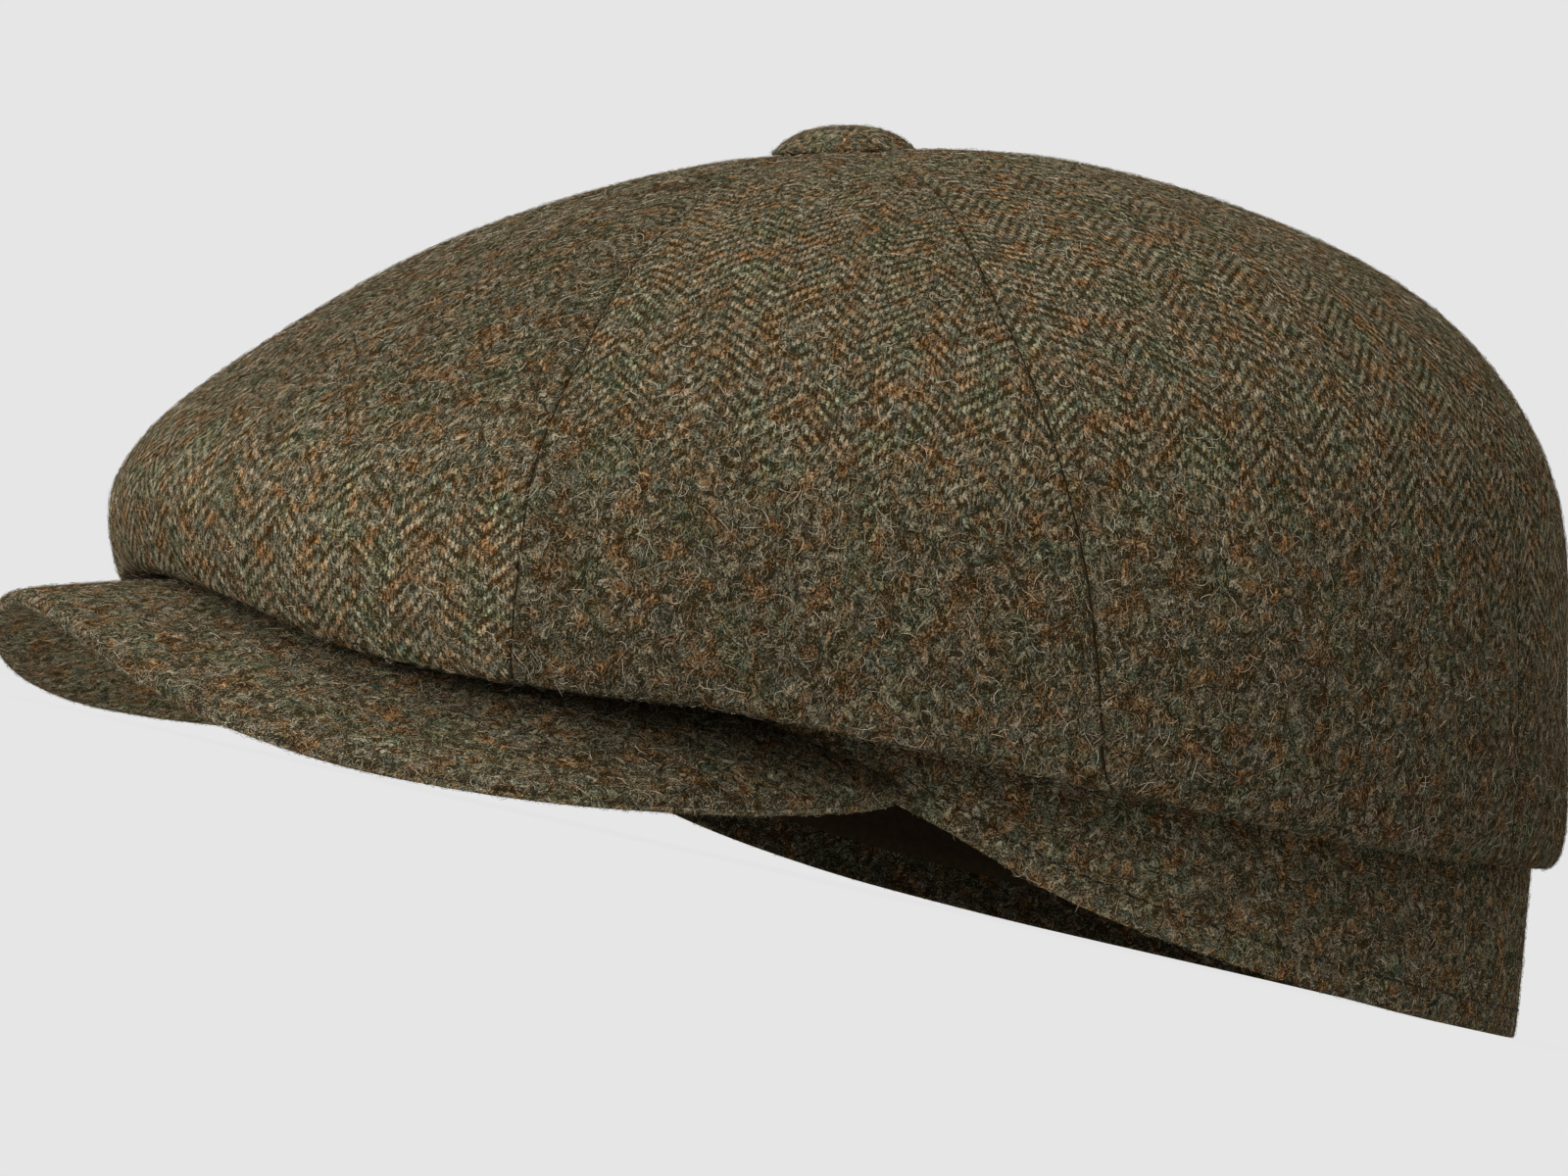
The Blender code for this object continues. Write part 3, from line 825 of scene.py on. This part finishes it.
# The nap: single fibres of the same wools, teased out of every face of the tweed that shows, pale
# ones mostly where the pale yarn is up and dark ones between. Each wool below has its share of them
# and its colour.
PALE_FIBRES = (
    ("cream_wool", 0.34, (0.335, 0.283, 0.208)),
    ("fawn_wool", 0.34, (0.210, 0.168, 0.110)),
    ("rust_wool", 0.12, (0.170, 0.115, 0.063)),
    ("stone_wool", 0.20, (0.145, 0.130, 0.088)),
)
DARK_FIBRES = (
    ("bark_wool", 0.45, (0.019, 0.013, 0.005)),
    ("olive_wool", 0.25, (0.033, 0.025, 0.011)),
    ("moss_wool", 0.18, (0.022, 0.019, 0.009)),
    ("slate_wool", 0.12, (0.037, 0.034, 0.021)),
)
EDGE_REACH = 1.2 * MM
EDGE_PLACES = (0.0, 0.25, 0.5, 0.75)
ROOT_DEPTH = 0.05 * MM
TIP_LIFT = 0.07
BLADE_ROLL = 0.8
PALER_UP = 0.36
LEAST_LENGTH = 1e-15
CORE_SHARE = 0.7
CORE_HEIGHT = 60 * MM
BAND_TURNS_IN = 0.02

# Each kind has pairs of points between a fibre's two ends, its least and most length, width and lift
# off the cloth in millimetres, its curl and its spread about the cloth's length, and the pale share.
NAP = {"pairs": 1, "length": (0.6, 1.9), "width": (0.04, 0.08), "lift": (0.04, 0.30),
       "curl": 1.3, "spread": 0.7, "pale": 0.44}
FELTED_NAP = {**NAP, "spread": 1.2}
HAIRS = {"pairs": 3, "length": (1.6, 4.0), "width": (0.05, 0.08), "lift": (0.08, 0.34),
         "curl": 2.6, "spread": 1.5, "pale": 0.74}

wool_materials = [Finish(name).cover((*colour, 1), 1.0)
                  for name, share, colour in PALE_FIBRES + DARK_FIBRES]


def on_arrays(kind, value, *others):
    if kind == "SINE":
        return np.sin(value)
    if kind == "SNAP":
        return np.floor(value / others[0]) * others[0]
    return np.abs(np.mod(value - others[0], 2 * others[0]) - others[0])


def surface_of(piece):
    """The corners of a finished piece's triangles, and at each the cloth map and clearness."""
    shape = piece.evaluated_get(bpy.context.evaluated_depsgraph_get()).to_mesh()
    shape.calc_loop_triangles()
    points = np.array([v.co for v in shape.vertices])
    joined = np.array([t.vertices for t in shape.loop_triangles])
    flat = np.zeros(len(shape.loops) * 2)
    shape.uv_layers[CLOTH_MAP].data.foreach_get("uv", flat)
    flat = flat.reshape(-1, 2)[np.array([t.loops for t in shape.loop_triangles])]
    clear = np.zeros(len(points))
    shape.attributes[CLEAR_WEAVE].data.foreach_get("value", clear)
    return points[joined], flat, clear[joined]


def is_by_edge(piece, middles):
    """Which of those places are close to a creased edge of the piece."""
    edges = KDTree(len(EDGE_PLACES) * len(piece.data.edges))
    for edge in piece.data.edges:
        if piece.data.attributes["crease_edge"].data[edge.index].value > 0:
            ends = [piece.data.vertices[v].co for v in edge.vertices]
            for share in EDGE_PLACES:
                edges.insert(ends[0].lerp(ends[1], share), 0)
    edges.balance()
    return np.array([(edges.find(middle)[2] or 1.0) < EDGE_REACH for middle in middles])


def cloth_ways(corners, flat, up):
    """The directions of the cloth's length and width in each triangle."""
    sides, drawn = np.diff(corners, axis=1), np.diff(flat, axis=1)
    turned = drawn[:, 0, 0] * drawn[:, 1, 1] - drawn[:, 1, 0] * drawn[:, 0, 1]
    length_way = sides[:, 1] * drawn[:, 0, 0, None] - sides[:, 0] * drawn[:, 1, 0, None]
    length_way *= np.sign(turned)[:, None]
    length_way /= np.maximum(np.linalg.norm(length_way, axis=1), LEAST_LENGTH)[:, None]
    return length_way, np.cross(up, length_way)


def blade_faces(points_each):
    faces = [(0, 1, 2)]
    for at in range(1, points_each - 3, 2):
        faces += [(at, at + 2, at + 3), (at, at + 3, at + 1)]
    faces.append((points_each - 3, points_each - 1, points_each - 2))
    return np.array(faces)


def plant(pool, piece, count, shows, edge_share):
    """Draws where fibres have their roots, on the faces of a piece that show. Gives each root's place,
    the ways up and along the length and width of its cloth, how far the pale yarn shows there, and
    whether it is close to an edge."""
    corners, flat, clear = surface_of(piece)
    up = np.cross(corners[:, 1] - corners[:, 0], corners[:, 2] - corners[:, 0])
    areas = np.linalg.norm(up, axis=1)
    up /= np.maximum(areas, LEAST_LENGTH)[:, None]
    middles = corners.mean(axis=1)
    by_edge = is_by_edge(piece, middles)
    chances = areas * shows(middles, up) * np.where(by_edge, edge_share, 1.0)
    chosen = pool.choice(len(areas), count, p=chances / chances.sum())
    weights = pool.dirichlet((1, 1, 1), count)[:, :, None]
    root = (corners[chosen] * weights).sum(axis=1)
    across, along = (flat[chosen] * weights).sum(axis=1).T / MM
    shown = herringbone(across, along, on_arrays)[0] * (clear[chosen] * weights[:, :, 0]).sum(axis=1)
    length_way, width_way = cloth_ways(corners[chosen], flat[chosen], up[chosen])
    return root, up[chosen], length_way, width_way, shown, by_edge[chosen]


def grow(pool, kind, root, up, length_way, width_way, by_edge):
    """The points of the blades of that kind: each is a bent line through its root, lifted off the
    cloth in the middle and at its tip."""
    count = len(root)
    turn = np.where(by_edge, math.pi, kind["spread"]) * pool.normal(size=count)
    turn += math.pi * pool.integers(0, 2, count)
    length, width, lift = (
        pool.uniform(kind[name][0] * MM, kind[name][1] * MM, count) for name in ("length", "width", "lift"))
    curl = pool.normal(0, kind["curl"], count)
    tip = np.abs(pool.normal(0, TIP_LIFT, count))
    roll = pool.uniform(-BLADE_ROLL, BLADE_ROLL, count)[:, None]
    steps = kind["pairs"] + 1
    headings = turn + curl * ((np.arange(steps)[:, None] + 0.5) / steps - 0.5)
    ways = length_way * np.cos(headings)[:, :, None] + width_way * np.sin(headings)[:, :, None]
    paces = ways * (length / steps)[:, None]
    line = np.concatenate([np.zeros((1, count, 3)), np.cumsum(paces, axis=0)])
    line += root - line.mean(axis=0)
    blades = [line[0] - up * ROOT_DEPTH]
    for at in range(1, steps):
        share = at / steps
        spine = line[at] + up * (lift * math.sin(math.pi * share) + tip * length * share**2)[:, None]
        edge = np.cross(up, ways[at]) * np.cos(roll) + up * np.sin(roll)
        edge *= width[:, None] / 2
        blades += [spine - edge, spine + edge]
    blades.append(line[-1] + up * (length * tip)[:, None])
    return np.stack(blades, axis=1)


def choose_wools(pool, kind, shown):
    """Draws each fibre's wool, a pale one more often where the pale yarn shows."""
    count = len(shown)
    pale = pool.choice(len(PALE_FIBRES), count, p=[share for name, share, colour in PALE_FIBRES])
    dark = pool.choice(len(DARK_FIBRES), count, p=[share for name, share, colour in DARK_FIBRES])
    is_pale = pool.uniform(size=count) < kind["pale"] + PALER_UP * shown
    return np.where(is_pale, pale, dark + len(PALE_FIBRES))


def tease_wool(piece, kind, ending, count, seed, shows, edge_share):
    """Adds fibres of one kind to a piece, on the faces that show, as one mesh. They stand edge_share
    times as thick close to its edges, and none goes below the floor."""
    pool = np.random.default_rng(seed)
    root, up, length_way, width_way, shown, by_edge = plant(pool, piece, count, shows, edge_share)
    blades = grow(pool, kind, root, up, length_way, width_way, by_edge)
    points_each = blades.shape[1]
    points = blades.reshape(-1, 3)
    points[:, 2] = np.maximum(points[:, 2], 0)
    one_blade = blade_faces(points_each)
    faces = (np.arange(count)[:, None, None] * points_each + one_blade).reshape(-1, 3)
    mesh = bpy.data.meshes.new(piece.name.replace("tweed", ending))
    mesh.from_pydata(points.tolist(), [], faces.tolist())
    for material in wool_materials:
        mesh.materials.append(material)
    wools = np.repeat(choose_wools(pool, kind, shown), len(one_blade))
    mesh.polygons.foreach_set("material_index", wools.astype(np.int32))
    mesh.shade_smooth()
    nap = bpy.data.objects.new(mesh.name, mesh)
    bpy.context.scene.collection.objects.link(nap)
    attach(nap, "root")


def outside_crown(middles, normals):
    core = np.array(head_middle) + (middles - np.array(head_middle)) * (CORE_SHARE, CORE_SHARE, 0)
    core[:, 2] = CORE_HEIGHT
    return ((middles - core) * normals).sum(axis=1) > 0


def outside_band(middles, normals):
    outward = (middles - np.array(head_middle)) * (1, 1, 0)
    return (outward * normals).sum(axis=1) > -BAND_TURNS_IN


def everywhere(middles, normals):
    return np.ones(len(middles), bool)


for number, panel in enumerate(panels):
    tease_wool(panel, NAP, "nap", count=19000, seed=number, shows=outside_crown, edge_share=0.8)
    tease_wool(panel, HAIRS, "hairs", count=3600, seed=20 + number, shows=outside_crown, edge_share=0.6)
tease_wool(band, FELTED_NAP, "nap", count=26000, seed=11, shows=outside_band, edge_share=2.5)
tease_wool(band, HAIRS, "hairs", count=4500, seed=31, shows=outside_band, edge_share=1.5)
tease_wool(peak, FELTED_NAP, "nap", count=34000, seed=12, shows=everywhere, edge_share=5.0)
tease_wool(peak, HAIRS, "hairs", count=6000, seed=32, shows=everywhere, edge_share=1.5)
tease_wool(button, NAP, "nap", count=2000, seed=13, shows=everywhere, edge_share=1.0)
tease_wool(button, HAIRS, "hairs", count=250, seed=33, shows=everywhere, edge_share=1.0)
